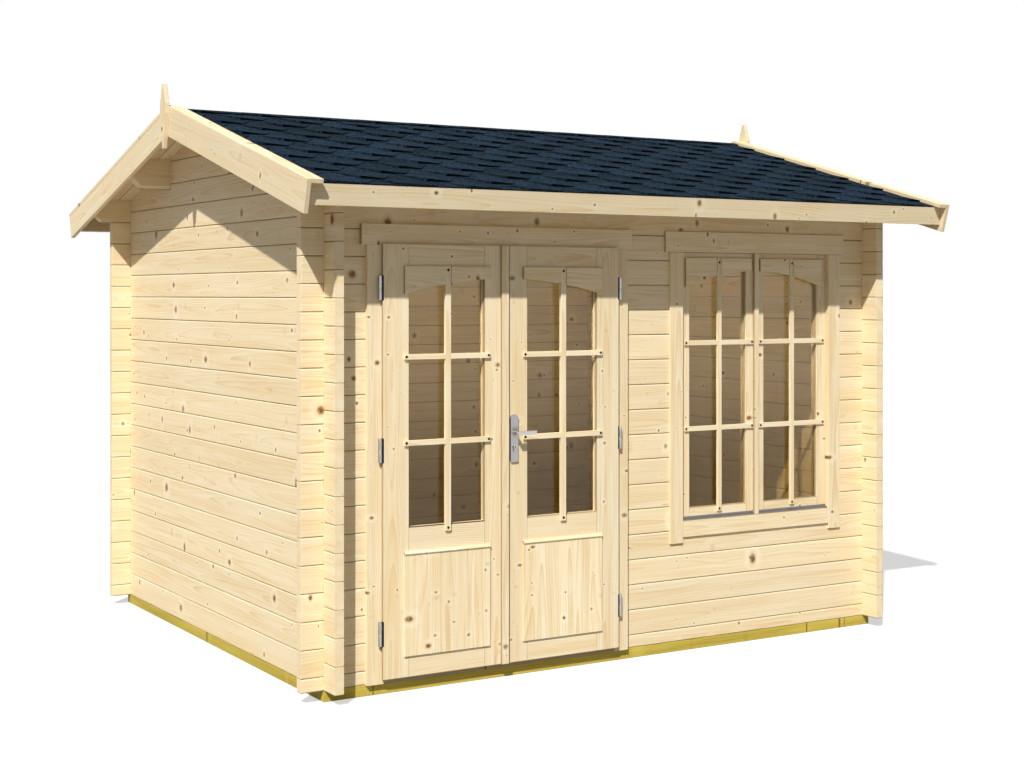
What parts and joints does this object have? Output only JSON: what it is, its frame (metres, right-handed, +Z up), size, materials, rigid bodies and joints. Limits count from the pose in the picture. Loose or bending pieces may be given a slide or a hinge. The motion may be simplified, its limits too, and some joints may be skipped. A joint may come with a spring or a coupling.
{
  "type": "backyard cabin",
  "caption": "Garden cabin of crossed spruce logs with a saddle roof, glazed double door with lever handle and a fixed arched double window.",
  "frame": {"origin": "on the ground at the middle of the roof's outline", "axes": "+X along the front from the door to the window, +Y from the front wall to the rear wall, +Z up"},
  "size_m": [3.4852, 3.167, 2.6357],
  "materials": {
    "spruce": "planed, unfinished",
    "trim_spruce": "planed, unfinished",
    "joinery_spruce": "planed, unfinished",
    "treated_wood": "sawn, pressure treated",
    "bitumen_shingle": "mineral granules",
    "pane": "clear",
    "zinc_steel": "zinc plated",
    "satin_steel": "satin",
    "sill_metal": "satin"
  },
  "bodies": {
    "cabin": {"front_base_beam": "treated_wood", "rear_base_beam": "treated_wood", "left_base_beam": "treated_wood", "right_base_beam": "treated_wood", "floor_joists": "treated_wood", "floor_boards": "spruce", "left_wall": "spruce", "right_wall": "spruce", "rear_wall": "spruce", "front_wall_left_of_door": "spruce", "front_wall_middle": "spruce", "front_wall_right_of_window": "spruce", "front_wall_below_window": "spruce", "front_wall_top": "spruce", "front_purlin": "spruce", "rear_purlin": "spruce", "front_roof_boards": "spruce", "rear_roof_boards": "spruce", "front_shingles": "bitumen_shingle", "rear_shingles": "bitumen_shingle", "front_fascia": "trim_spruce", "rear_fascia": "trim_spruce", "left_barge_boards": "trim_spruce", "right_barge_boards": "trim_spruce", "left_cap_boards": "trim_spruce", "right_cap_boards": "trim_spruce", "left_finial": "trim_spruce", "right_finial": "trim_spruce", "door_frame": "joinery_spruce", "frame_hinges": "zinc_steel", "window_frame": "joinery_spruce", "window_sashes": "joinery_spruce", "window_boards": "joinery_spruce", "window_glass": "pane", "window_sill": "sill_metal"},
    "left_door": {"left_door_leaf": "joinery_spruce", "left_door_boards": "joinery_spruce", "left_door_glass": "pane", "left_door_hinges": "zinc_steel"},
    "right_door": {"right_door_leaf": "joinery_spruce", "right_door_boards": "joinery_spruce", "right_door_glass": "pane", "right_door_hinges": "zinc_steel", "handle_plates": "satin_steel"},
    "lever": {"lever_handle": "satin_steel"}
  },
  "joints": [
    {"name": "left_door_swing", "type": "hinge", "parent": "cabin", "child": "left_door", "pos_m": [-1.261, -1.2825, 0.061], "axis": [0, 0, -1], "range_deg": [0, 110]},
    {"name": "right_door_swing", "type": "hinge", "parent": "cabin", "child": "right_door", "pos_m": [-0.052, -1.2825, 0.061], "axis": [0, 0, 1], "range_deg": [0, 110]},
    {"name": "lever_turn", "type": "hinge", "parent": "right_door", "child": "lever", "pos_m": [-0.619, -1.288, 1.06], "axis": [0, 1, 0], "range_deg": [0, 40], "stiffness_Nm_per_rad": 1, "springref_deg": -28.65}
  ]
}
